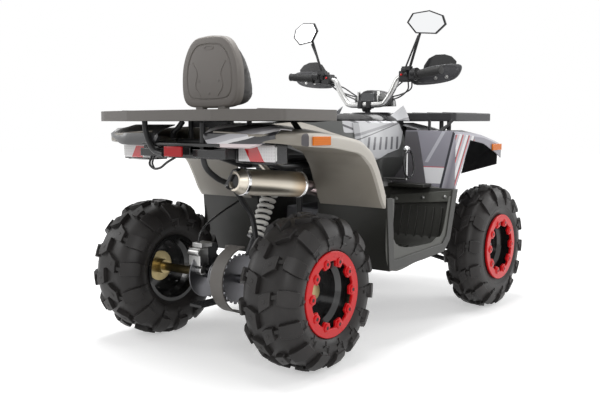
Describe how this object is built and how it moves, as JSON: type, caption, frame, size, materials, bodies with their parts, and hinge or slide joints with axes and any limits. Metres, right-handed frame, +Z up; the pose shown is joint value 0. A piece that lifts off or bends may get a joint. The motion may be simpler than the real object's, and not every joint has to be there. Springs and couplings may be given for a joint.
{
  "type": "quad bike",
  "caption": "Utility quad bike with two racks, a passenger backrest, handguards, mirrors and knobbly tyres on red-ringed rims; steered front wheels, live rear axle.",
  "frame": {"origin": "on the ground at the middle of the wheelbase, which is the middle of the bounding box's base", "axes": "+X forward, +Y to the rider's left, +Z up"},
  "size_m": [1.9, 1.088, 1.368],
  "materials": {
    "frame_black": "black powder coat",
    "cast_engine": "cast, dull",
    "damper_black": "black gloss",
    "spring_white": "white powder coat",
    "trim_grey": "grained grey",
    "muffler_steel": "satin stainless steel",
    "footwell_plastic": "grained charcoal",
    "body_silver": "painted silver",
    "body_white": "painted white and silver",
    "console_dark": "grained dark grey",
    "seat_black": "black vinyl",
    "lens_clear": "clear lens",
    "lens_red": "red lens",
    "lens_amber": "amber lens",
    "tail_black": "black",
    "rack_grey": "grained warm grey",
    "rack_dark": "grained dark grey",
    "chrome_trim": "polished",
    "bar_silver": "satin silver",
    "grip_rubber": "ribbed",
    "control_black": "satin black",
    "guard_black": "grained black",
    "mirror_face": "mirror glass",
    "cast_alloy": "cast",
    "zinc_steel": "yellow zinc",
    "tyre": "charcoal rubber",
    "rim_black": "gloss black",
    "ring_red": "gloss red"
  },
  "bodies": {
    "chassis": {"main_frame": "frame_black", "engine_block": "cast_engine", "skid_plate": "frame_black", "swingarm": "frame_black", "shock_absorbers": "damper_black", "coil_springs": "spring_white", "sprocket_guard": "trim_grey", "exhaust": "muffler_steel", "front_arms": "frame_black", "front_bumper": "frame_black", "footwells": "footwell_plastic", "rear_fenders": "body_silver", "front_fenders": "body_silver", "side_panels": "body_white", "console": "console_dark", "seat": "seat_black", "nose_cover": "body_silver", "head_lamps": "lens_clear", "tail_cover": "tail_black", "tail_lamps": "lens_clear", "brake_lens": "lens_red", "side_reflectors": "lens_amber", "rear_rack": "rack_grey", "front_rack": "rack_dark", "rack_brackets": "frame_black", "backrest_shell": "rack_grey", "backrest_cushion": "seat_black", "gear_lever": "chrome_trim"},
    "steering": {"steering_column": "frame_black", "handlebar": "bar_silver", "hand_grips": "grip_rubber", "hand_controls": "control_black", "handguards": "guard_black", "mirror_housings": "control_black", "mirror_glasses": "mirror_face", "bar_pod": "console_dark", "instrument": "control_black"},
    "knuckle_left": {"knuckle_left": "cast_alloy"},
    "knuckle_right": {"knuckle_right": "cast_alloy"},
    "tie_rod_left": {"tie_rod_left": "zinc_steel"},
    "tie_rod_right": {"tie_rod_right": "zinc_steel"},
    "front_wheel_left": {"front_tyre_left": "tyre", "front_rim_left": "rim_black", "front_ring_left": "ring_red"},
    "front_wheel_right": {"front_tyre_right": "tyre", "front_rim_right": "rim_black", "front_ring_right": "ring_red"},
    "rear_wheels": {"rear_axle": "zinc_steel", "rear_tyre_left": "tyre", "rear_tyre_right": "tyre", "rear_rims": "rim_black", "rear_rings": "ring_red"}
  },
  "joints": [
    {"name": "steering", "type": "hinge", "parent": "chassis", "child": "steering", "pos_m": [0.65, 0, 0.327], "axis": [-0.4869, 0, 0.8734], "range_deg": [-32, 32]},
    {"name": "kingpin_left", "type": "hinge", "parent": "chassis", "child": "knuckle_left", "pos_m": [0.65, 0.352, 0.292], "axis": [0, 0, 1], "range_deg": [-28, 28]},
    {"name": "tie_rod_left", "type": "hinge", "parent": "knuckle_left", "child": "tie_rod_left", "pos_m": [0.56, 0.33, 0.3135], "axis": [0, 0, 1], "range_deg": [-32, 32]},
    {"name": "front_wheel_left", "type": "hinge", "parent": "knuckle_left", "child": "front_wheel_left", "pos_m": [0.65, 0.455, 0.292], "axis": [0, 1, 0], "continuous": true},
    {"name": "kingpin_right", "type": "hinge", "parent": "chassis", "child": "knuckle_right", "pos_m": [0.65, -0.352, 0.292], "axis": [0, 0, 1], "range_deg": [-28, 28]},
    {"name": "tie_rod_right", "type": "hinge", "parent": "knuckle_right", "child": "tie_rod_right", "pos_m": [0.56, -0.33, 0.3135], "axis": [0, 0, 1], "range_deg": [-32, 32]},
    {"name": "front_wheel_right", "type": "hinge", "parent": "knuckle_right", "child": "front_wheel_right", "pos_m": [0.65, -0.455, 0.292], "axis": [0, 1, 0], "continuous": true},
    {"name": "rear_wheels", "type": "hinge", "parent": "chassis", "child": "rear_wheels", "pos_m": [-0.65, 0, 0.2795], "axis": [0, 1, 0], "continuous": true}
  ],
  "couplings": [
    {"joint": "kingpin_left", "follows": "steering", "ratio": 0.875},
    {"joint": "tie_rod_left", "follows": "steering", "ratio": -0.985},
    {"joint": "kingpin_right", "follows": "steering", "ratio": 0.875},
    {"joint": "tie_rod_right", "follows": "steering", "ratio": -0.985}
  ]
}
